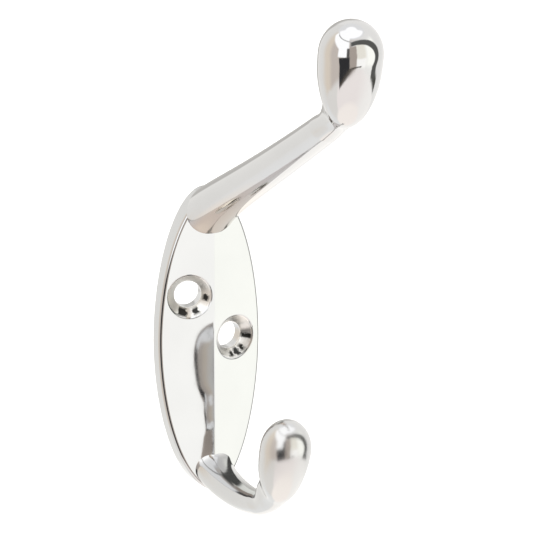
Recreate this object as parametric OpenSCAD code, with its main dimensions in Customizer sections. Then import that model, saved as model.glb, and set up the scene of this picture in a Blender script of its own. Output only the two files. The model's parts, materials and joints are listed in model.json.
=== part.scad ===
// Hat and coat hook: an oval back plate that carries a long hat arm and a short coat arm.
// The plate's flat back lies on the wall in the plane y = 0, the front faces -Y and +Z is up.
// The origin is the middle of the plate's outline, on the wall.

/* [Back plate] */
// Height of the oval plate
plate_height = 60.5; // [50:0.5:80]
// Width of the oval plate
plate_width = 21.4; // [20.6:0.1:28]
// Power of the oval outline: 2 is an ellipse, less is more pointed
outline_power = 1.9; // [1.7:0.05:2.2]
// Height of the ridge above the wall
ridge_height = 5.2; // [4.4:0.1:6.4]
// Height of the plate's side edge above the wall
edge_height = 2.8; // [2.2:0.1:3.6]

/* [Screw holes] */
// Diameter of each screw hole
screw_hole_diameter = 5.3; // [4.5:0.1:5.4]
// Diameter of each countersink at the front
countersink_diameter = 8.9; // [8:0.1:9.2]
// Distance from the ridge line to the middle of each countersink
screw_offset = 4.8; // [4.7:0.1:5.2]
// Height of the left-hand hole above the plate's middle
left_hole_z = 9.5; // [6:0.1:12]
// Height of the right-hand hole above the plate's middle
right_hole_z = 0.2; // [-4:0.1:3]

/* [Riveted tenons] */
// Diameter of each arm's tenon
tenon_diameter = 4.6; // [4:0.1:5]
// Diameter of the riveted head at the back
rivet_diameter = 6.2; // [5.8:0.1:6.6]
// Distance from each end of the plate to the middle of the nearer tenon
tenon_inset = 4.8; // [4:0.1:6]

/* [Upper arm] */
// How far the upper arm reaches before it turns up into its knob
upper_reach = 61.2; // [50:0.1:70]
// How far the upper arm climbs from its foot to where it turns up
upper_rise = 32.1; // [22:0.1:42]
// Width of the upper arm at the plate
upper_root_width = 10.6; // [9:0.1:11.2]
// Depth of the upper arm at the plate
upper_root_depth = 9; // [8:0.1:10]
// Width of the upper arm at its knob
upper_end_width = 6.1; // [5:0.1:8]
// Depth of the upper arm at its knob
upper_end_depth = 5.6; // [4.5:0.1:7]

/* [Upper knob] */
// Diameter of the upper knob
upper_knob_diameter = 12; // [10:0.1:14]
// Height of the upper knob above its widest place
upper_knob_top = 6.5; // [5:0.1:8]
// Height of the upper knob below its widest place
upper_knob_tail = 14.8; // [11:0.1:17]
// Lean of the upper knob away from the wall
upper_knob_lean = 11; // [0:1:20]

/* [Lower arm] */
// How far the lower arm reaches before it turns up into its knob
lower_reach = 33.1; // [28:0.1:42]
// How far the curve of the lower arm is pulled down below its foot
lower_drop = 3.9; // [2.5:0.1:7]
// Width of the lower arm at the plate
lower_root_width = 8; // [7:0.1:9]
// Depth of the lower arm at the plate
lower_root_depth = 6.2; // [5.6:0.1:7]
// Width of the lower arm at its knob
lower_end_width = 4.6; // [4:0.1:6]
// Depth of the lower arm at its knob
lower_end_depth = 4.1; // [3.4:0.1:5]

/* [Lower knob] */
// Diameter of the lower knob
lower_knob_diameter = 9.8; // [8:0.1:12]
// Height of the lower knob above its widest place
lower_knob_top = 6.2; // [5:0.1:8]
// Height of the lower knob below its widest place
lower_knob_tail = 13.1; // [10:0.1:15]
// Lean of the lower knob away from the wall
lower_knob_lean = 20; // [10:1:26]

/* [Hidden] */
$fn = 64;

// Front of the plate: two flat facets that meet at the ridge
facet_slope = (ridge_height - edge_height) / (plate_width / 2);
facet_angle = atan(facet_slope);
function front_height(x) = ridge_height - facet_slope * abs(x);

// Depth of each 90 degree countersink: a screw's, square to its facet, and a rivet's at the back
cone_depth = (countersink_diameter - screw_hole_diameter) / 2;
rivet_depth = (rivet_diameter - tenon_diameter) / 2;

// Height of each tenon above or below the plate's middle
tenon_z = plate_height / 2 - tenon_inset;

// How far each tenon runs on into its arm, past the ridge
tenon_grip = 0.2;

// Point on the oval outline, with a and b its half height and half width
function power_of(v) = sign(v) * pow(abs(v), 2 / outline_power);
function oval(a, b, count) =
    [for (i = [0 : count - 1]) let (t = 360 * i / count) [b * power_of(cos(t)), a * power_of(sin(t))]];

// Arm centre lines as [forward, up], each a cubic curve that starts foot_depth behind the ridge: before it
// the line is carried straight on, and after it the line turns up on an arc that ends along the knob's axis
bend_radius = 4;
foot_depth = 2;
upper_foot = [ridge_height - foot_depth, tenon_z + 0.6];
lower_foot = [ridge_height - foot_depth, -tenon_z + 0.2];
upper_path = [upper_foot, upper_foot + [7.5, 5.1], upper_foot + [22.7, 11.9],
              [upper_reach, upper_foot[1] + upper_rise]];
lower_path = [lower_foot, lower_foot + [4.4, -3.1], [lower_reach - 8.2, lower_foot[1] - lower_drop],
              [lower_reach, lower_foot[1] + 1.9]];
function unit(v) = v / norm(v);
function cubic(p, u) = let (v = 1 - u)
    v * v * v * p[0] + 3 * v * v * u * p[1] + 3 * v * u * u * p[2] + u * u * u * p[3];
function cubic_heading(p, u) = let (v = 1 - u)
    unit(v * v * (p[1] - p[0]) + 2 * v * u * (p[2] - p[1]) + u * u * (p[3] - p[2]));
function left_of(v) = [-v[1], v[0]];
function turned(v, a) = cos(a) * v + sin(a) * left_of(v);
function end_turn(p, lean) = let (e = unit(p[3] - p[2])) 90 - lean - atan2(e[1], e[0]);

// Point and heading at t: 0 to 1 is the cubic curve and 1 to 2 is the arc
function line_point(p, lean, t) =
    t < 0 ? p[0] + 3 * t * (p[1] - p[0])
    : t <= 1 ? cubic(p, t)
    : let (e = unit(p[3] - p[2]), a = (t - 1) * end_turn(p, lean))
      p[3] + bend_radius * (sin(a) * e + (1 - cos(a)) * left_of(e));
function line_heading(p, lean, t) =
    t <= 1 ? cubic_heading(p, max(t, 0)) : turned(unit(p[3] - p[2]), (t - 1) * end_turn(p, lean));

// Stations along an arm: the last few close it with a rounded end inside the knob
line_count = 34;
arc_count = 8;
cap_count = 4;
side_count = 32;
first_station = -0.25;
function station(i) =
    i <= line_count ? first_station + (1 - first_station) * i / line_count
    : min(2, 1 + (i - line_count) / arc_count);
function cap_angle(i) = max(0, 84 * (i - line_count - arc_count) / cap_count);
function blend(a, b, t) = a + (b - a) * min(max(t, 0), 1);

// Ring of points round an arm at station i: w and d hold its root and end half width and half depth
function ring(p, lean, w, d, i) =
    let (t = station(i), q = cap_angle(i), s = line_heading(p, lean, t),
         hw = blend(w[0], w[1], t) * cos(q), hd = blend(d[0], d[1], t) * cos(q),
         c = line_point(p, lean, t) + d[1] * sin(q) * s)
    [for (j = [0 : side_count - 1])
        let (a = 360 * j / side_count, f = c + hd * sin(a) * left_of(s)) [hw * cos(a), -f[0], f[1]]];

module arm(p, lean, w, d) {
    rings = line_count + arc_count + cap_count + 1;
    points = [for (i = [0 : rings - 1]) each ring(p, lean, w, d, i)];
    sides = [for (i = [0 : rings - 2]) for (j = [0 : side_count - 1])
        let (k = (j + 1) % side_count, a = i * side_count, b = a + side_count)
        each [[a + j, b + j, b + k], [a + j, b + k, a + k]]];
    first = [for (j = [0 : side_count - 1]) j];
    last = [for (j = [0 : side_count - 1]) rings * side_count - 1 - j];
    polyhedron(points, concat([first], sides, [last]), convexity = 6);
}

// Shape of each knob's tail, from pointed to blunt, and where its tip lies from the end of the arm's
// curve as [forward, up]
upper_tail_power = 2.24;
lower_tail_power = 1.95;
upper_tip = [1.6, -1.9];
lower_tip = [0, -1.1];

// Egg-shaped knob about its own upright axis, widest at z = 0
knob_steps = 16;
function knob_profile(r, top, tail, tail_power) = concat(
    [for (i = [0 : knob_steps]) let (t = 90 * i / knob_steps) [r * cos(t), top * sin(t)]],
    [for (i = [knob_steps : -1 : 1]) let (s = sin(90 * i / knob_steps))
        [r * sqrt(max(0, 1 - pow(s, tail_power))), -tail * s]]);

// The knob at the end of the arm with path p, leaning forward
module knob(p, tip, r, top, tail, tail_power, lean) {
    c = p[3] + tip + tail * [sin(lean), cos(lean)];
    translate([0, -c[0], c[1]]) rotate([lean, 0, 0]) rotate_extrude($fn = 64)
        polygon(knob_profile(r, top, tail, tail_power));
}

// Fillet in the inner corner between each arm and its knob's tail: a stretched ball melts into both. Its
// half sizes are across the arm, out of the corner and along the corner, and its middle is given from the
// end of the arm's curve
upper_fill_halves = [1, 1, 1.5] * (upper_end_depth / 2 + 0.1);
lower_fill_halves = [1.435, 1.043, 2.348] * lower_end_width / 2;
upper_fill_middle = [-1.7, 1.8];
lower_fill_middle = [-2.5, 1.6];
lower_fill_lean = 36;

module corner_fill(p, middle, halves, lean) {
    c = p[3] + middle;
    translate([0, -c[0], c[1]]) rotate([lean, 0, 0]) scale(halves) rotate_extrude($fn = 64)
        polygon(knob_profile(1, 1, 1, 2));
}

// Everything behind the plate's front, carried on past its outline
module behind_front(reach) {
    translate([0, 0, -reach]) linear_extrude(2 * reach)
        polygon([[-reach, reach], [-reach, -front_height(reach)], [0, -ridge_height],
                 [reach, -front_height(reach)], [reach, reach]]);
}

// Screw hole with its countersink, square to the facet on the side given by -1 or 1
module screw_hole(side, z) {
    x = side * screw_offset;
    translate([x, -front_height(x), z]) rotate([90, 0, 0]) rotate([0, side * facet_angle, 0]) {
        translate([0, 0, -12]) cylinder(h = 13, d = screw_hole_diameter);
        translate([0, 0, -cone_depth])
            cylinder(h = 2 * cone_depth, d1 = screw_hole_diameter,
                     d2 = screw_hole_diameter + 4 * cone_depth);
    }
}

// Tenon and riveted head, from the wall forwards
module tenon(z, length) {
    translate([0, 0, z]) rotate([90, 0, 0]) {
        cylinder(h = length, d = tenon_diameter);
        cylinder(h = rivet_depth, d1 = rivet_diameter, d2 = tenon_diameter);
    }
}

module back_plate() {
    color([0.86, 0.87, 0.88]) difference() {
        intersection() {
            rotate([90, 0, 0]) linear_extrude(ridge_height + 1)
                polygon(oval(plate_height / 2, plate_width / 2, 120));
            translate([0, 0, -plate_height]) linear_extrude(2 * plate_height)
                polygon([[-plate_width, 0], [-plate_width, -front_height(plate_width)], [0, -ridge_height],
                         [plate_width, -front_height(plate_width)], [plate_width, 0]]);
        }
        screw_hole(-1, left_hole_z);
        screw_hole(1, right_hole_z);
        tenon(tenon_z, 2 * ridge_height);
        tenon(-tenon_z, 2 * ridge_height);
    }
}

module upper_arm() {
    color([0.9, 0.9, 0.91]) union() {
        difference() {
            arm(upper_path, upper_knob_lean, [upper_root_width, upper_end_width] / 2,
                [upper_root_depth, upper_end_depth] / 2);
            behind_front(40);
        }
        knob(upper_path, upper_tip, upper_knob_diameter / 2, upper_knob_top, upper_knob_tail,
             upper_tail_power, upper_knob_lean);
        corner_fill(upper_path, upper_fill_middle, upper_fill_halves, upper_knob_lean);
        tenon(tenon_z, ridge_height + tenon_grip);
    }
}

module lower_arm() {
    color([0.88, 0.89, 0.9]) union() {
        difference() {
            arm(lower_path, lower_knob_lean, [lower_root_width, lower_end_width] / 2,
                [lower_root_depth, lower_end_depth] / 2);
            behind_front(40);
        }
        knob(lower_path, lower_tip, lower_knob_diameter / 2, lower_knob_top, lower_knob_tail,
             lower_tail_power, lower_knob_lean);
        corner_fill(lower_path, lower_fill_middle, lower_fill_halves, lower_fill_lean);
        tenon(-tenon_z, ridge_height + tenon_grip);
    }
}

back_plate();
upper_arm();
lower_arm();
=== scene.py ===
# %% [markdown]
# # A chrome hat and coat hook
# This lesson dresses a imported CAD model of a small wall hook. The hook has three pieces: an oval back
# plate with a ridge down its middle, a long hat arm and a short coat arm. The CAD model is already the
# right size and in the right place, so everything here is measured from it.

# %% Load the frame
import json
from math import atan, atan2, copysign, cos, hypot, pi, radians, sin, sqrt
import bmesh
import bpy
from mathutils import Matrix, Vector


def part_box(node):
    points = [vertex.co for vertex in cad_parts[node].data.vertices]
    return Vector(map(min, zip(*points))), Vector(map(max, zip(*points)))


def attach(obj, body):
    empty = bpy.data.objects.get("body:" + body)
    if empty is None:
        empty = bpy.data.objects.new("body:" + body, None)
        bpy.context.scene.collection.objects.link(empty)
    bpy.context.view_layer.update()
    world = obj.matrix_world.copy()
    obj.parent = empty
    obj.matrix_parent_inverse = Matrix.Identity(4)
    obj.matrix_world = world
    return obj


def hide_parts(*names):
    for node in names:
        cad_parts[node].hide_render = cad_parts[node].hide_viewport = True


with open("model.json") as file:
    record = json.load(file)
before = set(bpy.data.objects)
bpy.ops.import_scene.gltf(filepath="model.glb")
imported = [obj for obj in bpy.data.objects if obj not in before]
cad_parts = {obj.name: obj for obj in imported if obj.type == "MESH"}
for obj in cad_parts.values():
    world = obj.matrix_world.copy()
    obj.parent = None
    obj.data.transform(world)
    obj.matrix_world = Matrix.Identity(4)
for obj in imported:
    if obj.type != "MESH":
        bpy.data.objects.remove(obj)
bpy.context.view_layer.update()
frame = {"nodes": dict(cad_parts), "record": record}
MM = 0.001
DEGREES = 180 / pi
MOUNTS = {mount["name"]: mount for mount in frame["record"]["mounts"]}
print("nodes:", sorted(frame["nodes"]))

# %% [markdown]
# ## Small helpers
# A piece is finished in steps: bmesh operators make the rough shape, modifiers cut and join it, and the
# result is stored as one plain mesh. Each helper below does one of those steps.

# %% Helpers for meshes and objects
SCENE = bpy.context.scene


def put_in_scene(name, bm):
    """Turns a bmesh into an object whose place is in its mesh."""
    mesh = bpy.data.meshes.new(name)
    bmesh.ops.recalc_face_normals(bm, faces=bm.faces)
    bm.to_mesh(mesh)
    bm.free()
    piece = bpy.data.objects.new(name, mesh)
    SCENE.collection.objects.link(piece)
    return piece


def apply_modifiers(piece):
    """Stores the result of all the piece's modifiers as its own mesh."""
    bpy.context.view_layer.update()
    seen = piece.evaluated_get(bpy.context.evaluated_depsgraph_get())
    mesh = bpy.data.meshes.new_from_object(seen)
    old = piece.data
    piece.modifiers.clear()
    piece.data = mesh
    mesh.name = piece.name
    bpy.data.meshes.remove(old)


def combine(piece, other, operation):
    """Joins other to the piece with UNION, or cuts it away with DIFFERENCE, and removes other."""
    cut = piece.modifiers.new(operation.lower(), "BOOLEAN")
    cut.operation = operation
    cut.solver = "EXACT"
    cut.object = other
    apply_modifiers(piece)
    bpy.data.objects.remove(other)


def only(kind, parts):
    """The vertices, edges or faces among the parts that an operator returns."""
    return [part for part in parts if isinstance(part, kind)]


def report(piece):
    """Prints how big a piece is and how many faces it has."""
    xs, ys, zs = zip(*((v.co.x, v.co.y, v.co.z) for v in piece.data.vertices))
    size = [round((max(axis) - min(axis)) / MM, 2) for axis in (xs, ys, zs)]
    print(piece.name, "is", size, "mm with", len(piece.data.polygons), "faces")


# %% [markdown]
# ## The plate's form
# The real plate is a small casting: a tall oval whose front is two flat facets that meet at a ridge.
# Its front edge is rounded a little, because it was polished before it was plated. Seen from the front
# it is a height map, so the outline is drawn once, inset a few times, and each point is then lifted to
# the height that the front has there.

# %% Sizes of the plate, from the frame
plate_low, plate_high = (Vector(corner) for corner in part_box("back_plate"))
PLATE_HALF_WIDTH = plate_high.x
PLATE_HALF_HEIGHT = plate_high.z
RIDGE_HEIGHT = -plate_low.y
EDGE_HEIGHT = 2.8 * MM
OUTLINE_POWER = 1.9
EDGE_ROUNDING = 0.6 * MM
RIDGE_ROUNDING = 0.25 * MM
FACET_SLOPE = (RIDGE_HEIGHT - EDGE_HEIGHT) / PLATE_HALF_WIDTH
FACET_ANGLE = atan(FACET_SLOPE)
print("plate, mm:", PLATE_HALF_WIDTH * 2 / MM, PLATE_HALF_HEIGHT * 2 / MM, RIDGE_HEIGHT / MM)


def front_height(x):
    """Height of the plate's front above the wall, with sharp facets."""
    return RIDGE_HEIGHT - FACET_SLOPE * abs(x)


def polished_height(x):
    """The same with the ridge rubbed round."""
    if abs(x) >= RIDGE_ROUNDING:
        return front_height(x)
    return RIDGE_HEIGHT - FACET_SLOPE * (x * x / RIDGE_ROUNDING + RIDGE_ROUNDING) / 2


# %% Draw an oval face
def oval_face(bm, half_width, half_height, sides):
    """Adds one face on the wall, with the plate's kind of oval outline."""
    verts = bmesh.ops.create_circle(bm, cap_ends=True, radius=1.0, segments=sides)["verts"]
    power = 2 / OUTLINE_POWER
    for vert in verts:
        across, up = (copysign(abs(part) ** power, part) for part in vert.co.xy)
        vert.co = (half_width * across, 0, half_height * up)
    return verts[0].link_faces[0]


# %% Raise the plate
PLATE_SIDES = 240
ROUNDING_STEPS = 10
RIDGE_CUTS = (-1, -0.5, 0, 0.5, 1)
CUT_TOLERANCE = 1e-8


def plate_solid():
    """The plate without its holes: an oval wall, a rounded edge and the ridged front."""
    bm = bmesh.new()
    back = oval_face(bm, PLATE_HALF_WIDTH, PLATE_HALF_HEIGHT, PLATE_SIDES)
    raised = bmesh.ops.extrude_face_region(bm, geom=[back])["geom"]
    front = only(bmesh.types.BMFace, raised)[0]
    depth = {v: 0.0 for v in front.verts}
    inward = 0.0
    for step in range(1, ROUNDING_STEPS + 1):
        reach = EDGE_ROUNDING * (1 - cos(pi / 2 * step / ROUNDING_STEPS))
        bmesh.ops.inset_individual(bm, faces=[front], thickness=reach - inward,
                                   use_even_offset=True)
        inward = reach
        depth.update({v: reach for v in front.verts})
    for x in RIDGE_CUTS:
        faces = [f for f in bm.faces if f is not back and all(v in depth for v in f.verts)]
        edges = {e for f in faces for e in f.edges}
        verts = {v for f in faces for v in f.verts}
        cut = bmesh.ops.bisect_plane(bm, geom=list(verts) + list(edges) + faces, dist=CUT_TOLERANCE,
                                     plane_co=(x * RIDGE_ROUNDING, 0, 0), plane_no=(1, 0, 0))
        for vert in only(bmesh.types.BMVert, cut["geom_cut"]):
            ends = [edge.other_vert(vert) for edge in vert.link_edges]
            near = [depth[end] for end in ends if end in depth][:2]
            depth.setdefault(vert, sum(near) / max(len(near), 1))
    for vert, reach in depth.items():
        gap = EDGE_ROUNDING - reach
        drop = EDGE_ROUNDING - sqrt(max(EDGE_ROUNDING ** 2 - gap ** 2, 0))
        vert.co.y = drop - polished_height(vert.co.x)
    return put_in_scene("back_plate_cast", bm)


plate = plate_solid()
report(plate)

# %% [markdown]
# ## Turned cutters
# A countersink, a bore and a rivet are all turned shapes. One edge profile is spun round an axis, and
# the few sharp rings that would show are bevelled before the cut, which leaves a rounded rim in the
# metal.

# %% Spin a profile
TURNED_SIDES = 96
MERGE_DISTANCE = 1e-7
RING_TOLERANCE = 1e-6
RIM_STEPS = 4


def on_ring(edge, radius, height):
    """True for an edge of the ring that the profile's point (radius, height) draws."""
    return all(abs(hypot(vert.co.x, vert.co.y) - radius) < RING_TOLERANCE
               and abs(vert.co.z - height) < RING_TOLERANCE for vert in edge.verts)


def turned(name, profile, place, rounded=(), rounding=0.0):
    """Spins (radius, height) points round local Z and rounds the rings of the points listed."""
    bm = bmesh.new()
    verts = [bm.verts.new((radius, 0, height)) for radius, height in profile]
    line = [bm.edges.new(ends) for ends in zip(verts, verts[1:])]
    bmesh.ops.spin(bm, geom=verts + line, cent=(0, 0, 0), axis=(0, 0, 1), dvec=(0, 0, 0),
                   angle=2 * pi, steps=TURNED_SIDES, use_merge=True, use_duplicate=False)
    bmesh.ops.remove_doubles(bm, verts=bm.verts, dist=MERGE_DISTANCE)
    rings = [profile[index] for index in rounded]
    edges = [edge for edge in bm.edges if any(on_ring(edge, *ring) for ring in rings)]
    if edges:
        bmesh.ops.bevel(bm, geom=edges, offset=rounding, offset_type="OFFSET", segments=RIM_STEPS,
                        profile=0.5, affect="EDGES", material=-1)
    bmesh.ops.transform(bm, matrix=place, verts=bm.verts)
    return put_in_scene(name, bm)


def along(origin, axis):
    """A matrix that puts local Z along the axis, starting at the origin."""
    return Matrix.Translation(origin) @ Vector(axis).to_track_quat("Z", "Y").to_matrix().to_4x4()


# %% [markdown]
# ## The countersunk screw holes
# Each hole stands square to its facet, so its axis leans away from the ridge. The record's mounts say
# where each bore is. The cone opens at 90 degrees to the size of a screw's head, and the cutter flares
# out above it, clear of the facet.

# %% Cut the screw holes
COUNTERSINK_RADIUS = 4.45 * MM
RIM_ROUNDING = 0.16 * MM
CUTTER_BACK = 9 * MM
CUTTER_TOP = 3 * MM
FLARE_RADIUS = 8 * MM
FLARE_RISE = 0.5 * MM
cone_axes = []
for name in ("left_screw_hole", "right_screw_hole"):
    mount = MOUNTS[name]
    axis = Vector(mount["axis"])
    bore = mount["dims"]["r_mm"] * MM
    cone = COUNTERSINK_RADIUS - bore
    mouth = Vector(mount["pos_m"]) + axis * (cone + mount["dims"]["length_mm"] * MM / 2)
    profile = [(0, -CUTTER_BACK), (bore, -CUTTER_BACK), (bore, -cone), (COUNTERSINK_RADIUS, 0),
               (FLARE_RADIUS, FLARE_RISE), (FLARE_RADIUS, CUTTER_TOP), (0, CUTTER_TOP)]
    cutter = turned(name, profile, along(mouth, axis), rounded=(2, 3), rounding=RIM_ROUNDING)
    combine(plate, cutter, "DIFFERENCE")
    cone_axes.append((mouth, axis))
    print(name, "mouth at", [round(c / MM, 2) for c in mouth], "mm")

# %% [markdown]
# ## Holes for the riveted tenons
# Behind each arm a round hole goes through the plate. It opens into a cone at the back, where the end
# of the arm's tenon is hammered flat like a rivet.

# %% Bore the plate for the two tenons
TENON_INSET = 4.8 * MM
TENON_RADIUS = 2.3 * MM
RIVET_RADIUS = 3.1 * MM
RIVET_DEPTH = RIVET_RADIUS - TENON_RADIUS
TENON_Z = PLATE_HALF_HEIGHT - TENON_INSET
BORE_BACK = 1 * MM
BORE_FRONT = 8 * MM
INTO_WALL = (0, 1, 0)
for z in (TENON_Z, -TENON_Z):
    profile = [(0, BORE_BACK), (RIVET_RADIUS, BORE_BACK), (RIVET_RADIUS, 0),
               (TENON_RADIUS, -RIVET_DEPTH), (TENON_RADIUS, -BORE_FRONT), (0, -BORE_FRONT)]
    combine(plate, turned("tenon_bore", profile, along((0, 0, z), INTO_WALL)), "DIFFERENCE")
report(plate)

# %% [markdown]
# ## The arms' centre lines
# Each arm follows one cubic curve in the upright plane through the ridge, then turns up on a short arc
# that ends along the axis of its knob. A place on the line is given as (forward, up), in millimetres,
# and t runs from 0 to 1 along the curve and on to 2 along the arc.

# %% Centre lines
BEND_RADIUS = 4.0
FOOT_SINK = 2
FOOT_FORWARD = RIDGE_HEIGHT / MM - FOOT_SINK


def pair(forward, up):
    return Vector((forward, up))


def left_of(way):
    return pair(-way.y, way.x)


def cubic(points, t):
    s = 1 - t
    return (s ** 3 * points[0] + 3 * s * s * t * points[1]
            + 3 * s * t * t * points[2] + t ** 3 * points[3])


def cubic_heading(points, t):
    s = 1 - t
    steps = [after - before for before, after in zip(points, points[1:])]
    return (s * s * steps[0] + 2 * s * t * steps[1] + t * t * steps[2]).normalized()


def place_on_line(points, lean, t):
    """The point and heading at t. Before 0 the line runs straight on behind the plate's front."""
    if t <= 0:
        return points[0] + 3 * t * (points[1] - points[0]), cubic_heading(points, 0)
    if t <= 1:
        return cubic(points, t), cubic_heading(points, t)
    end = cubic_heading(points, 1)
    turn = (t - 1) * (pi / 2 - lean - atan2(end.y, end.x))
    heading = cos(turn) * end + sin(turn) * left_of(end)
    spot = points[3] + BEND_RADIUS * (sin(turn) * end + (1 - cos(turn)) * left_of(end))
    return spot, heading


# %% [markdown]
# ## Sweep an arm
# An arm is an oval section that is swept along its line and grows slimmer on the way. The first ring is
# a circle. Each extrusion of it is moved by the matrix that takes one station of the line to the next.

# %% Sweep rings along a line
ARM_SIDES = 96
CURVE_RINGS = 120
BEND_RINGS = 24
CAP_RINGS = 8
CAP_TURN = radians(84)
OVERRUN = 0.25


def ring_matrix(spot, heading, half_width, half_depth):
    """Takes a unit circle to an oval section that stands across the heading."""
    up = left_of(heading)
    return Matrix(((half_width, 0, 0, 0),
                   (0, -half_depth * up.x, -heading.x, -spot.x),
                   (0, half_depth * up.y, heading.y, spot.y),
                   (0, 0, 0, 1 / MM))) * MM


def arm_rings(points, lean, widths, depths):
    """The matrix of every ring, from the overrun behind the front to a rounded end in the knob."""
    rings = []
    for step in range(CURVE_RINGS + BEND_RINGS + CAP_RINGS + 1):
        t = -OVERRUN + (1 + OVERRUN) * min(step / CURVE_RINGS, 1)
        t += min(max(step - CURVE_RINGS, 0) / BEND_RINGS, 1)
        cap = CAP_TURN * max(step - CURVE_RINGS - BEND_RINGS, 0) / CAP_RINGS
        share = min(max(t, 0), 1)
        halves = [(a + (b - a) * share) / 2 * cos(cap) for a, b in (widths, depths)]
        spot, heading = place_on_line(points, lean, t)
        rings.append(ring_matrix(spot + depths[1] / 2 * sin(cap) * heading, heading, *halves))
    return rings


def swept(bm, rings):
    """Adds one closed skin through all the rings."""
    verts = bmesh.ops.create_circle(bm, cap_ends=True, radius=1.0, segments=ARM_SIDES)["verts"]
    edges = list(verts[0].link_faces[0].edges)
    bmesh.ops.transform(bm, matrix=rings[0], verts=verts)
    for before, after in zip(rings, rings[1:]):
        grown = bmesh.ops.extrude_edge_only(bm, edges=edges)["geom"]
        verts = only(bmesh.types.BMVert, grown)
        edges = only(bmesh.types.BMEdge, grown)
        bmesh.ops.transform(bm, matrix=after @ before.inverted(), verts=verts)
    bmesh.ops.contextual_create(bm, geom=edges)


# %% [markdown]
# ## The egg-shaped knobs
# A knob starts as a ball. Above its widest place it is half an ellipsoid, and below it tapers in a long
# tail, so the ball's heights are stretched and its rings are drawn in to the tail's own profile.

# %% Shape a knob
KNOB_SIDES = 128
KNOB_RINGS = 96
NEARLY_ZERO = 1e-12


def leaning(middle, lean):
    """A matrix that takes local Z to a (forward, up) place, leaning forward by lean."""
    return Matrix.Translation((0, -middle.x * MM, middle.y * MM)) @ Matrix.Rotation(lean, 4, "X")


def knob(bm, tip, radius, top, tail, tail_power, lean):
    """Adds an egg whose tail ends at the tip, a (forward, up) place, leaning forward by lean."""
    ball = bmesh.ops.create_uvsphere(bm, u_segments=KNOB_SIDES, v_segments=KNOB_RINGS,
                                     radius=1.0)["verts"]
    for vert in ball:
        height = max(-1.0, min(1.0, vert.co.z))
        if height >= 0:
            vert.co = (vert.co.x * radius, vert.co.y * radius, height * top)
            continue
        round_here = sqrt(max(1 - height * height, NEARLY_ZERO))
        wanted = radius * sqrt(max(1 - abs(height) ** tail_power, 0))
        vert.co = (vert.co.x / round_here * wanted, vert.co.y / round_here * wanted, height * tail)
    middle = tip + tail * pair(sin(lean), cos(lean))
    bmesh.ops.transform(bm, matrix=leaning(middle, lean) @ Matrix.Scale(MM, 4), verts=ball)


# %% Fill an inner corner
FILL_SIDES = 64
FILL_RINGS = 48


def corner_fill(bm, middle, halves, lean):
    """Adds a stretched ball in the corner between an arm and its knob's tail.

    Its half sizes are given across the arm, out of the corner and along the corner.
    """
    ball = bmesh.ops.create_uvsphere(bm, u_segments=FILL_SIDES, v_segments=FILL_RINGS,
                                     radius=MM)["verts"]
    bmesh.ops.transform(bm, matrix=leaning(middle, lean) @ Matrix.Diagonal((*halves, 1)), verts=ball)


# %% [markdown]
# ## One skin for arm and knob
# The photograph shows no seam between arm and knob: they are one casting, ground smooth. A voxel remesh
# melts the overlapping shapes into one skin of small, even faces. Smoothing then takes the last steps
# out of that skin, and more passes in the inner corner give it the wide fillet of the real hook.

# %% Melt and smooth
VOXEL = 0.2 * MM
SKIN_PASSES = 8
FILLET_STEPS = 30
FILLET_PASSES = 12
FILLET_SHRINK = 0.6
SMOOTHING = 0.5


def smooth(bm, verts, passes):
    """Draws each vertex part of the way to the middle of its neighbours, again and again."""
    for _ in range(passes):
        bmesh.ops.smooth_vert(bm, verts=verts, factor=SMOOTHING, use_axis_x=True, use_axis_y=True,
                              use_axis_z=True)


def smooth_skin(piece, middle, reach):
    """Remeshes the piece, smooths all of it a little and the fillet's ball of points more.

    The ball shrinks step by step, so that the smoothing dies away towards its edge and leaves no step.
    """
    melt = piece.modifiers.new("melt", "REMESH")
    melt.mode = "VOXEL"
    melt.voxel_size = VOXEL
    apply_modifiers(piece)
    bm = bmesh.new()
    bm.from_mesh(piece.data)
    smooth(bm, bm.verts, SKIN_PASSES)
    centre = Vector((0, -middle.x * MM, middle.y * MM))
    near = [(v, (v.co - centre).length / (reach * MM)) for v in bm.verts]
    for step in range(FILLET_STEPS):
        share = 1 - FILLET_SHRINK * step / FILLET_STEPS
        smooth(bm, [v for v, distance in near if distance < share], FILLET_PASSES)
    bm.to_mesh(piece.data)
    bm.free()


# %% [markdown]
# ## Feet and tenons
# Each arm stands on the ridge in a notch of the same angle, and a round tenon runs back through the
# plate to a riveted head. The notch is cut with a long prism that copies the plate's front.

# %% Cut the notch and add the tenon
FAR = 30 * MM
RIDGE_STEPS = 4
GRIP = 0.2 * MM


def front_prism():
    """Everything behind the plate's front, well past its outline."""
    bm = bmesh.new()
    ridge = [RIDGE_ROUNDING * step / RIDGE_STEPS for step in range(-RIDGE_STEPS, RIDGE_STEPS + 1)]
    outline = [(x, -polished_height(x)) for x in (-FAR, *ridge, FAR)] + [(FAR, FAR), (-FAR, FAR)]
    face = bm.faces.new([bm.verts.new((x, y, -2 * FAR)) for x, y in outline])
    raised = bmesh.ops.extrude_face_region(bm, geom=[face])["geom"]
    bmesh.ops.translate(bm, vec=(0, 0, 4 * FAR), verts=only(bmesh.types.BMVert, raised))
    return put_in_scene("front_prism", bm)


def add_foot(piece, z):
    """Notches the foot of an arm and joins its tenon and rivet."""
    combine(piece, front_prism(), "DIFFERENCE")
    end = RIDGE_HEIGHT + GRIP
    profile = [(0, 0), (RIVET_RADIUS, 0), (TENON_RADIUS, -RIVET_DEPTH),
               (TENON_RADIUS, -end), (0, -end)]
    combine(piece, turned("tenon", profile, along((0, 0, z), INTO_WALL)), "UNION")


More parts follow.
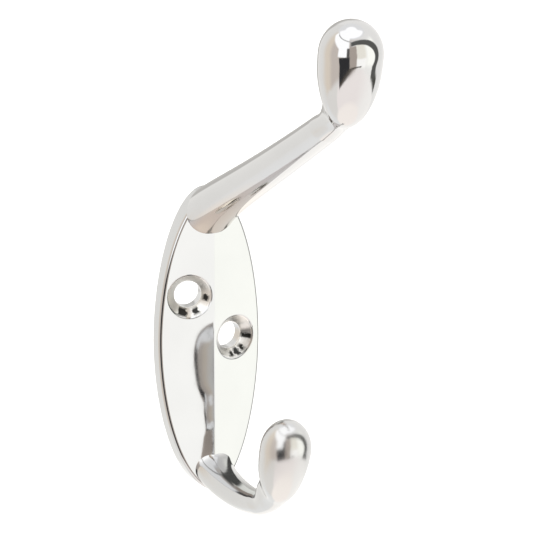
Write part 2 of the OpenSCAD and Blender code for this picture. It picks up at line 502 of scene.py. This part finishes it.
# %% Cast a whole arm
def cast_arm(name, z, line, lean, section, egg, fill, fillet):
    """Sweeps an arm, adds its knob and corner fill, melts them into one skin and adds the foot."""
    bm = bmesh.new()
    swept(bm, arm_rings(line, lean, **section))
    knob(bm, lean=lean, **egg)
    corner_fill(bm, **fill)
    piece = put_in_scene(name, bm)
    smooth_skin(piece, **fillet)
    add_foot(piece, z)
    report(piece)
    return piece


# %% [markdown]
# ## The hat arm
# The long arm leaves the plate at about 35 degrees, flattens a little and climbs again to its knob.

# %% Upper arm
upper_foot = pair(FOOT_FORWARD, TENON_Z / MM + 0.6)
upper_line = [upper_foot, upper_foot + pair(7.5, 5.1), upper_foot + pair(22.7, 11.9),
              pair(61.2, upper_foot.y + 32.1)]
upper_lean = radians(11)
upper_section = {"widths": (10.6, 6.1), "depths": (9.0, 5.6)}
upper_egg = {"tip": upper_line[3] + pair(1.6, -1.9), "radius": 6.0, "top": 6.5, "tail": 14.8,
             "tail_power": 2.24}
upper_fill = {"middle": upper_line[3] + pair(-1.7, 1.8), "halves": (2.9, 2.9, 4.35),
              "lean": upper_lean}
upper_fillet = {"middle": upper_line[3] + pair(0.0, 2.4), "reach": 9.0}
upper = cast_arm("upper_arm_cast", TENON_Z, upper_line, upper_lean,
                 upper_section, upper_egg, upper_fill, upper_fillet)

# %% [markdown]
# ## The coat arm
# The short arm dips first, so that a loop can't slide off it, and turns up into the smaller knob.

# %% Lower arm
lower_foot = pair(FOOT_FORWARD, -TENON_Z / MM + 0.2)
lower_line = [lower_foot, lower_foot + pair(4.4, -3.1), pair(24.9, lower_foot.y - 3.9),
              pair(33.1, lower_foot.y + 1.9)]
lower_lean = radians(20)
lower_section = {"widths": (8.0, 4.6), "depths": (6.2, 4.1)}
lower_egg = {"tip": lower_line[3] + pair(0.0, -1.1), "radius": 4.9, "top": 6.2, "tail": 13.1,
             "tail_power": 1.95}
lower_fill = {"middle": lower_line[3] + pair(-2.5, 1.6), "halves": (3.3, 2.4, 5.4),
              "lean": radians(36)}
lower_fillet = {"middle": lower_line[3] + pair(-2.6, 1.4), "reach": 7.0}
lower = cast_arm("lower_arm_cast", -TENON_Z, lower_line, lower_lean,
                 lower_section, lower_egg, lower_fill, lower_fillet)

# %% [markdown]
# ## Shading of edges
# Smooth shading alone would bend the light across the flat facets. Edges sharper than 30 degrees are
# marked, and so is the border of each facet, so that the facets mirror like the flat faces they are.

# %% Shade the pieces
FACET_WAYS = [Vector((side * sin(FACET_ANGLE), -cos(FACET_ANGLE), 0)) for side in (-1, 1)]
SAME_WAY = 0.99999
SHARP_ANGLE = radians(30)


def on_facet(face):
    return any(face.normal.dot(way) > SAME_WAY for way in FACET_WAYS)


for piece in (plate, upper, lower):
    piece.data.shade_smooth()
    piece.data.set_sharp_from_angle(angle=SHARP_ANGLE)
bm = bmesh.new()
bm.from_mesh(plate.data)
for edge in bm.edges:
    if len({on_facet(face) for face in edge.link_faces}) == 2:
        edge.smooth = False
bm.to_mesh(plate.data)
bm.free()

# %% [markdown]
# ## Bright chrome
# Chrome plating mirrors a little under two thirds of the light that meets it, with the faintest blue.
# That loss is why a reflection of a reflection looks so much darker, as beside the ridge. The casting
# under the plating is never quite true, so broad shallow waves bend the reflections a little, and the
# buffing leaves some places duller than others. The helpers below add the nodes that make this up.

# %% Helpers for a material's nodes
def linked(tree, kind, inputs, settings=()):
    """Adds a node, with each input by name or number linked to a socket or set to a value."""
    node = tree.nodes.new(kind)
    for name, value in settings:
        setattr(node, name, value)
    for name, value in inputs.items():
        if isinstance(value, bpy.types.NodeSocket):
            tree.links.new(value, node.inputs[name])
        else:
            node.inputs[name].default_value = value
    return node


def math_node(tree, operation, first, second=0.0):
    """Adds a Math node and returns its result."""
    node = linked(tree, "ShaderNodeMath", {0: first, 1: second}, [("operation", operation)])
    return node.outputs[0]


def mixed(tree, share, below, above):
    """Adds a colour mix: below where the share is 0 and above where it is 1."""
    inputs = {0: share, 6: below, 7: above}
    return linked(tree, "ShaderNodeMix", inputs, [("data_type", "RGBA")]).outputs[2]


def vector_node(tree, operation, first, second=(0, 0, 0), output="Vector"):
    """Adds a Vector Math node. Its result is a vector or, from the output Value, a number."""
    inputs = {0: first, 1: second}
    node = linked(tree, "ShaderNodeVectorMath", inputs, [("operation", operation)])
    return node.outputs[output]


def part_along(tree, vector, axis):
    """The vector's part along X, Y or Z."""
    return linked(tree, "ShaderNodeSeparateXYZ", {0: vector}).outputs[axis]


def spread(tree, value, given, wanted):
    """Takes the value from the given range to the wanted one, and no further."""
    inputs = {"Value": value, "From Min": given[0], "From Max": given[1],
              "To Min": wanted[0], "To Max": wanted[1]}
    return linked(tree, "ShaderNodeMapRange", inputs).outputs["Result"]


def noise(tree, place, scale, detail):
    inputs = {"Vector": place, "Scale": scale, "Detail": detail}
    return linked(tree, "ShaderNodeTexNoise", inputs).outputs["Fac"]


# %% [markdown]
# ## Tool marks and painted reflections in the countersinks
# A drill turned the two cones and nothing buffed them before plating. They are paler and duller than
# the front, with fine rings from the tool's edge and shallow dents where it chattered. A few dark
# patches are painted reflections: near-black colour laid on the cones for the dark things they mirror.
# Each patch is a soft part of the cone, made uneven by noise. It is given as two angles round the
# hole, in degrees from the right and up, and two radii in millimetres.

# %% Where the cones are
CONE_ROUGHNESS = 0.26
CONE_COLOUR = (0.90, 0.89, 0.86, 1)
RING_PITCH = 0.36 * MM
RING_HEIGHT = 0.002 * MM
DENT_SCALE = 900
DENT_HEIGHT = 0.03 * MM
CONE_DEPTH = 2.0 * MM
SPOT_SCALE = 1500
SPOT_WANDER = 20
# Near-black colour of the painted dark reflections in the cones, not a colour of the metal.
PAINTED_REFLECTION_COLOUR = (0.04, 0.04, 0.038, 1)
SPOT_SIDE_FADE = 3
SPOT_END_FADE = 0.22 * MM
LEFT_PAINTED_REFLECTIONS = [((-126, -96), (2.8, 4.15)), ((-76, -56), (2.95, 4.0)), ((-19, 0), (2.95, 3.95))]
RIGHT_PAINTED_REFLECTIONS = [((-19, -2), (2.7, 4.3)), ((-101, -87), (3.1, 4.1)), ((-82, -63), (2.8, 4.2)),
               ((-58, -45), (3.0, 4.0))]


def patch(tree, value, ends, soft):
    """1 between the two ends and 0 outside them."""
    rise = spread(tree, value, (ends[0] - soft, ends[0] + soft), (0, 1))
    fall = spread(tree, value, (ends[1] - soft, ends[1] + soft), (1, 0))
    return math_node(tree, "MULTIPLY", rise, fall)


def in_cones(tree, place):
    """1 within either countersink, the distance from the nearer one's axis, and 1 in the painted
    reflections.
    """
    nearest, inside, painted_reflections = None, 0.0, 0.0
    edge = COUNTERSINK_RADIUS - RIM_ROUNDING
    uneven = math_node(tree, "SUBTRACT", noise(tree, place, SPOT_SCALE, detail=1), 0.5)
    wander = math_node(tree, "MULTIPLY", uneven, SPOT_WANDER)
    for (mouth, axis), spots in zip(cone_axes, (LEFT_PAINTED_REFLECTIONS, RIGHT_PAINTED_REFLECTIONS)):
        apart = vector_node(tree, "SUBTRACT", place, mouth)
        cross = vector_node(tree, "CROSS_PRODUCT", apart, axis)
        away = vector_node(tree, "LENGTH", cross, output="Value")
        nearest = away if nearest is None else math_node(tree, "MINIMUM", nearest, away)
        height = vector_node(tree, "DOT_PRODUCT", apart, axis, output="Value")
        above = spread(tree, height, (-CONE_DEPTH - RIM_ROUNDING, -CONE_DEPTH), (0, 1))
        within = spread(tree, away, (edge, edge - RIM_ROUNDING), (0, 1))
        inside = math_node(tree, "MAXIMUM", inside, math_node(tree, "MULTIPLY", above, within))
        level = vector_node(tree, "DOT_PRODUCT", apart, (-axis.y, axis.x, 0), output="Value")
        angle = math_node(tree, "ARCTAN2", part_along(tree, apart, "Z"), level)
        angle = math_node(tree, "ADD", math_node(tree, "MULTIPLY", angle, DEGREES), wander)
        for angles, radii in spots:
            ring = patch(tree, away, [radius * MM for radius in radii], SPOT_END_FADE)
            wedge = patch(tree, angle, angles, SPOT_SIDE_FADE)
            painted_reflections = math_node(tree, "ADD", painted_reflections, math_node(tree, "MULTIPLY", ring, wedge))
    return inside, nearest, math_node(tree, "MULTIPLY", inside, painted_reflections)


# %% Chrome material
TONE_SCALE = 90
TONE_ENDS = (0.35, 0.65)
TONE_LOSS = 0.97
DULL_SCALE = 260
DULL_ENDS = (0.3, 0.7)
WAVE_SCALE = 170
WORN_FADE = 5 * MM
WORN_ROUGHNESS = 0.16
PAINTED_REFLECTION_REACH = (-34 * MM, -14 * MM)
PAINTED_REFLECTION_FACING = (-0.35, -0.6)


def chrome(name, colour, dull, wave_height, worn_from=None, drilled=False, painted_underside_reflection=None):
    """Polished plating: dull is its range of roughness and wave_height the depth of its waves.

    Above the height worn_from it is scuffed by use, a drilled piece has tool marks and painted dark
    reflections in its countersinks, and a colour given for the underside is a warm painted reflection,
    laid on down-facing parts near the wall.
    """
    material = bpy.data.materials.new(name)
    material.use_nodes = True
    tree = material.node_tree
    shader = tree.nodes["Principled BSDF"]
    shader.inputs["Metallic"].default_value = 1.0
    place = tree.nodes.new("ShaderNodeTexCoord").outputs["Object"]

    tones = linked(tree, "ShaderNodeValToRGB", {"Fac": noise(tree, place, TONE_SCALE, detail=3)})
    darker = [part * TONE_LOSS for part in colour]
    for stop, position, tone in zip(tones.color_ramp.elements, TONE_ENDS, (darker, colour)):
        stop.position = position
        stop.color = (*tone, 1)
    finish = tones.outputs["Color"]

    roughness = spread(tree, noise(tree, place, DULL_SCALE, detail=4), DULL_ENDS, dull)
    height = math_node(tree, "MULTIPLY", noise(tree, place, WAVE_SCALE, detail=1), wave_height)
    if worn_from is not None:
        up = part_along(tree, place, "Z")
        worn = spread(tree, up, (worn_from, worn_from + WORN_FADE), (0, WORN_ROUGHNESS))
        roughness = math_node(tree, "ADD", roughness, worn)
    if drilled:
        mask, away, painted_reflections = in_cones(tree, place)
        duller = math_node(tree, "MULTIPLY", mask, CONE_ROUGHNESS)
        roughness = math_node(tree, "ADD", roughness, duller)
        rings = math_node(tree, "SINE", math_node(tree, "MULTIPLY", away, 2 * pi / RING_PITCH))
        dents = math_node(tree, "MULTIPLY", noise(tree, place, DENT_SCALE, detail=2), DENT_HEIGHT)
        marks = math_node(tree, "ADD", math_node(tree, "MULTIPLY", rings, RING_HEIGHT), dents)
        height = math_node(tree, "ADD", height, math_node(tree, "MULTIPLY", mask, marks))
        finish = mixed(tree, mask, finish, CONE_COLOUR)
        # Painted reflections: dark patches in the cones stand in for the dark things that the cones
        # mirror.
        finish = mixed(tree, painted_reflections, finish, PAINTED_REFLECTION_COLOUR)
    # Painted reflection: a warm tint on down-facing parts near the wall stands in for light bounced off
    # the plate.
    if painted_underside_reflection is not None:
        normal = tree.nodes.new("ShaderNodeNewGeometry").outputs["Normal"]
        below = spread(tree, part_along(tree, normal, "Z"), PAINTED_REFLECTION_FACING, (0, 1))
        near_wall = spread(tree, part_along(tree, place, "Y"), PAINTED_REFLECTION_REACH, (0, 1))
        finish = mixed(tree, math_node(tree, "MULTIPLY", below, near_wall), finish, painted_underside_reflection)
    tree.links.new(finish, shader.inputs["Base Color"])
    tree.links.new(roughness, shader.inputs["Roughness"])
    waves = linked(tree, "ShaderNodeBump", {"Height": height, "Strength": 1.0, "Distance": 1.0})
    tree.links.new(waves.outputs["Normal"], shader.inputs["Normal"])
    return material


FINISHES = {
    "back_plate": {"colour": (0.63, 0.635, 0.64), "dull": (0.04, 0.07), "wave_height": 0.012 * MM,
                   "drilled": True},
    # The upper arm's warm underside colour is a painted reflection of light bounced off the plate and
    # room.
    "upper_arm": {"colour": (0.64, 0.64, 0.645), "dull": (0.05, 0.09), "wave_height": 0.03 * MM,
                  "painted_underside_reflection": (0.70, 0.63, 0.56, 1)},
    "lower_arm": {"colour": (0.64, 0.64, 0.64), "dull": (0.06, 0.1), "wave_height": 0.03 * MM,
                  "worn_from": -20 * MM},
}
for node, piece in (("back_plate", plate), ("upper_arm", upper), ("lower_arm", lower)):
    piece.data.materials.clear()
    piece.data.materials.append(chrome(f"chrome_{node}", **FINISHES[node]))
    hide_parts(node)
    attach(piece, "root")

# %% [markdown]
# ## Camera
# The photograph looks at the hook from the left and from a little above, with a long lens.

# %% Camera at the photograph's angle
AZIMUTH = radians(24)
ELEVATION = radians(17)
ROLL = radians(0.386)
DISTANCE = 972.8 * MM
FOCAL_PIXELS = 5000
IMAGE_WIDTH = 536
SENSOR_WIDTH = 36
AIM_RIGHT = 12.58
AIM_UP = 13.0
back = Vector((-sin(AZIMUTH) * cos(ELEVATION), -cos(AZIMUTH) * cos(ELEVATION), sin(ELEVATION)))
right = Vector((cos(AZIMUTH), -sin(AZIMUTH), 0))
up = back.cross(right)
aim = (AIM_RIGHT * right + AIM_UP * up) * MM
camera_data = bpy.data.cameras.new("camera")
camera_data.sensor_width = SENSOR_WIDTH
camera_data.lens = SENSOR_WIDTH * FOCAL_PIXELS / IMAGE_WIDTH
camera_data.clip_start = 0.01
camera_data.clip_end = 20
camera = bpy.data.objects.new("camera", camera_data)
SCENE.collection.objects.link(camera)
camera.location = back * DISTANCE
toward = (camera.location - aim).normalized()
across = right * cos(ROLL) - up * sin(ROLL)
across = (across - across.dot(toward) * toward).normalized()
upward = toward.cross(across)
camera.rotation_euler = Matrix((across, upward, toward)).transposed().to_euler()
SCENE.camera = camera
print("lens, mm:", round(camera_data.lens, 1))

# %% [markdown]
# ## A studio made of light
# Chrome has no colour of its own: what the metal looks like is what stands round it. A hook like this
# is photographed on a white table in a bright room, and its knobs mirror the whole room. So the room is
# painted on the sky, as soft boxes and dark boards at plain bearings. Azimuth 0 is straight out from
# the wall, negative is to the viewer's left, and elevation 90 is overhead. All angles are in degrees.

# %% Bearings in the sky
SCENE.view_settings.view_transform = "Standard"
SCENE.view_settings.look = "None"
studio = bpy.data.worlds.new("studio")
SCENE.world = studio
studio.use_nodes = True
sky = studio.node_tree
sky.nodes.clear()


def sums(operation, *values):
    """Adds a Math node to the sky and returns its result."""
    return math_node(sky, operation, *values)


def fade(value, none_at, full_at):
    """0 at one value and 1 at the other, with a soft step between them."""
    inputs = {"Value": value, "From Min": none_at, "From Max": full_at}
    settings = [("interpolation_type", "SMOOTHSTEP")]
    return linked(sky, "ShaderNodeMapRange", inputs, settings).outputs["Result"]


def lay_over(light, mask, colour):
    """Puts one colour over the light so far, where the mask is 1."""
    above = colour if isinstance(colour, bpy.types.NodeSocket) else (*colour, 1)
    return mixed(sky, mask, light, above)


toward_sky = sky.nodes.new("ShaderNodeTexCoord").outputs["Generated"]
outward = sums("MULTIPLY", part_along(sky, toward_sky, "Y"), -1)
azimuth = sums("ARCTAN2", part_along(sky, toward_sky, "X"), outward)
azimuth = sums("MULTIPLY", azimuth, DEGREES)
elevation = sums("MULTIPLY", sums("ARCSINE", part_along(sky, toward_sky, "Z")), DEGREES)

# %% [markdown]
# ## Walls, table and ceiling
# Three broad zones come first: a pale table below, beige walls round the hook, and a white ceiling. The
# room is brighter on the right, so each zone turns from its left colour to its right colour.

# %% Broad zones
TABLE_BACK = (0.74, 0.74, 0.73)
TABLE_LEFT = (0.71, 0.69, 0.66)
TABLE_MIDDLE = (0.83, 0.775, 0.75)
TABLE_RIGHT = (0.89, 0.87, 0.84)
TABLE_UNDER = (0.92, 0.86, 0.81)
WALL_LEFT = (0.715, 0.705, 0.68)
WALL_WARM = (0.68, 0.605, 0.515)
WALL_BROWN = (0.54, 0.485, 0.44)
WALL_RIGHT = (0.77, 0.76, 0.74)
WALL_BEHIND = (0.42, 0.41, 0.39)
CEILING = (1.06, 1.06, 1.07)
CEILING_EDGE = (0.74, 0.74, 0.74)
TABLE_SEAM_SLOPE = 1.1


def plain(colour):
    node = sky.nodes.new("ShaderNodeRGB")
    node.outputs[0].default_value = (*colour, 1)
    return node.outputs[0]


walls = lay_over(plain(WALL_LEFT), fade(azimuth, -146, -116), WALL_WARM)
walls = lay_over(walls, fade(azimuth, -112, -92), WALL_BROWN)
walls = lay_over(walls, fade(azimuth, -75, 40), WALL_RIGHT)
behind = sums("MAXIMUM", fade(azimuth, 138, 158), fade(azimuth, -174, -180))
behind = sums("MULTIPLY", behind, sums("MULTIPLY", fade(elevation, -26, -14), fade(elevation, 36, 16)))
walls = lay_over(walls, behind, WALL_BEHIND)
table = lay_over(plain(TABLE_BACK), fade(azimuth, -150, -138), TABLE_LEFT)
seam = sums("SUBTRACT", azimuth, sums("MULTIPLY", elevation, TABLE_SEAM_SLOPE))
table = lay_over(table, fade(seam, -34, -28), TABLE_MIDDLE)
table = lay_over(table, fade(azimuth, 0, 80), TABLE_RIGHT)
table = lay_over(table, fade(elevation, -58, -66), TABLE_UNDER)
room = lay_over(walls, fade(elevation, 50, 56), CEILING_EDGE)
above = sums("MULTIPLY", fade(azimuth, -140, -122), fade(azimuth, 92, 72))
room = lay_over(room, sums("MULTIPLY", fade(elevation, 55, 60), above), CEILING)
room = lay_over(room, fade(elevation, 70, 76), CEILING)
room = lay_over(room, fade(elevation, -32, -37), table)


# %% [markdown]
# ## Soft boxes and dark boards
# Crisp dark shapes beside bright ones are what makes metal read as polished. A tall window box and a
# wide soft box give the white patches, and the boards round them give the dark ones. Each is laid over
# the ones before it. One is an arch, which is what a large ellipse leaves round a smaller one.

# %% Lay out the boards
WINDOW = (1.04, 1.04, 1.04)
SOFT_BOX = (1.02, 1.02, 0.96)
CREAM_SCREEN = (0.81, 0.78, 0.70)
CREAM_FOOT = (0.98, 0.97, 0.94)
BROWN_SCREEN = (0.39, 0.34, 0.30)
CEILING_LINE = (0.30, 0.30, 0.29)
BLACK_BOARD = (0.03, 0.03, 0.032)
DARK_POST = (0.09, 0.085, 0.08)
TABLE_EDGE = (0.07, 0.06, 0.05)
LOW_BOARD = (0.07, 0.07, 0.06)
ARCH = (0.095, 0.095, 0.09)
ARCH_SOFT = 0.03


def board(light, azimuths, heights, soft, colour, height=elevation):
    """Lays a patch between two azimuths and two heights, level unless a sloping height is given."""
    inside = sums("MULTIPLY", fade(azimuth, azimuths[0] - soft, azimuths[0] + soft),
                  fade(azimuth, azimuths[1] + soft, azimuths[1] - soft))
    inside = sums("MULTIPLY", inside, fade(height, heights[0] - soft, heights[0] + soft))
    inside = sums("MULTIPLY", inside, fade(height, heights[1] + soft, heights[1] - soft))
    return lay_over(light, inside, colour)


def sloping(slope):
    """Elevation measured from a line that climbs with azimuth."""
    return sums("SUBTRACT", elevation, sums("MULTIPLY", azimuth, slope))


def ellipse(middle, halves, soft):
    """1 inside an ellipse of the sky and 0 outside it."""
    across = sums("DIVIDE", sums("SUBTRACT", azimuth, middle[0]), halves[0])
    high = sums("DIVIDE", sums("SUBTRACT", elevation, middle[1]), halves[1])
    away = sums("SQRT", sums("ADD", sums("MULTIPLY", across, across), sums("MULTIPLY", high, high)))
    return fade(away, 1 + soft, 1 - soft)


def arch(light, colour):
    """A dark arch that is thicker at its top, between a large ellipse and a smaller one."""
    outer = ellipse((5, -8), (80, 56), ARCH_SOFT)
    inner = ellipse((0, -12), (65, 46), ARCH_SOFT)
    band = sums("SUBTRACT", outer, inner)
    band = sums("MULTIPLY", sums("MAXIMUM", band, 0), fade(azimuth, -34, -22))
    return lay_over(light, sums("MULTIPLY", band, fade(elevation, -34, -30)), colour)


low = sloping(0.115)
high = sloping(-0.11)
window = sloping(-0.5)
room = board(room, (-124, -34), (-17, 70), 3, WINDOW, window)
room = board(room, (-124, -20), (41, 44), 1, CEILING_EDGE, high)
room = board(room, (-72, -41), (-3, 32), 2, WINDOW)
room = board(room, (-31, -5), (-34, 32), 2, BROWN_SCREEN, low)
room = board(room, (-5, 30), (-33, 36), 2, CREAM_SCREEN)
room = board(room, (-5, 30), (-33, -8), 4, CREAM_FOOT)
room = board(room, (30, 76), (-30, 36), 9, SOFT_BOX)
room = board(room, (-68, -30), (-33, 2), 1.5, BLACK_BOARD, low)
room = board(room, (-41, -31), (-4, 24), 2, DARK_POST)
room = board(room, (-66, 14), (-33, -30), 0.8, TABLE_EDGE, low)
room = board(room, (60, 92), (-34, -28), 1.5, LOW_BOARD)
room = arch(room, ARCH)
room = board(room, (-110, -22), (40.6, 43), 0.8, CEILING_LINE, high)

# %% Show the room in the metal only
ROOM_LIGHT = 1.5
WHITE = (1, 1, 1, 1)
glow = linked(sky, "ShaderNodeBackground", {"Color": room, "Strength": ROOM_LIGHT})
backdrop = linked(sky, "ShaderNodeBackground", {"Color": WHITE})
from_camera = sky.nodes.new("ShaderNodeLightPath").outputs["Is Camera Ray"]
layers = {0: from_camera, 1: glow.outputs[0], 2: backdrop.outputs[0]}
seen = linked(sky, "ShaderNodeMixShader", layers)
linked(sky, "ShaderNodeOutputWorld", {"Surface": seen.outputs[0]})
print("the sky has", len(sky.nodes), "nodes")

# %% [markdown]
# ## The floor
# The floor is a plain pale sheet well below the hook. A broad overhead light brightens it to the white
# of the photograph. Neither shows in the metal, where the table of the room takes their place.

# %% Floor and overhead light
FLOOR_Z = -0.25
FLOOR_HALF = 6.0
FLOOR_WHITE = (0.9, 0.9, 0.9, 1)
bm = bmesh.new()
bmesh.ops.create_grid(bm, x_segments=1, y_segments=1, size=FLOOR_HALF)
bmesh.ops.translate(bm, vec=(0, 0, FLOOR_Z), verts=bm.verts)
floor = put_in_scene("floor", bm)
pale = bpy.data.materials.new("pale_floor")
pale.use_nodes = True
pale_shader = pale.node_tree.nodes["Principled BSDF"]
pale_shader.inputs["Base Color"].default_value = FLOOR_WHITE
pale_shader.inputs["Roughness"].default_value = 1.0
pale_shader.inputs["Specular IOR Level"].default_value = 0.0
floor.data.materials.append(pale)
floor.visible_glossy = False

overhead_data = bpy.data.lights.new("overhead", "SUN")
overhead_data.energy = 1.6
overhead_data.angle = radians(60)
overhead = bpy.data.objects.new("overhead", overhead_data)
SCENE.collection.objects.link(overhead)
overhead.visible_glossy = False
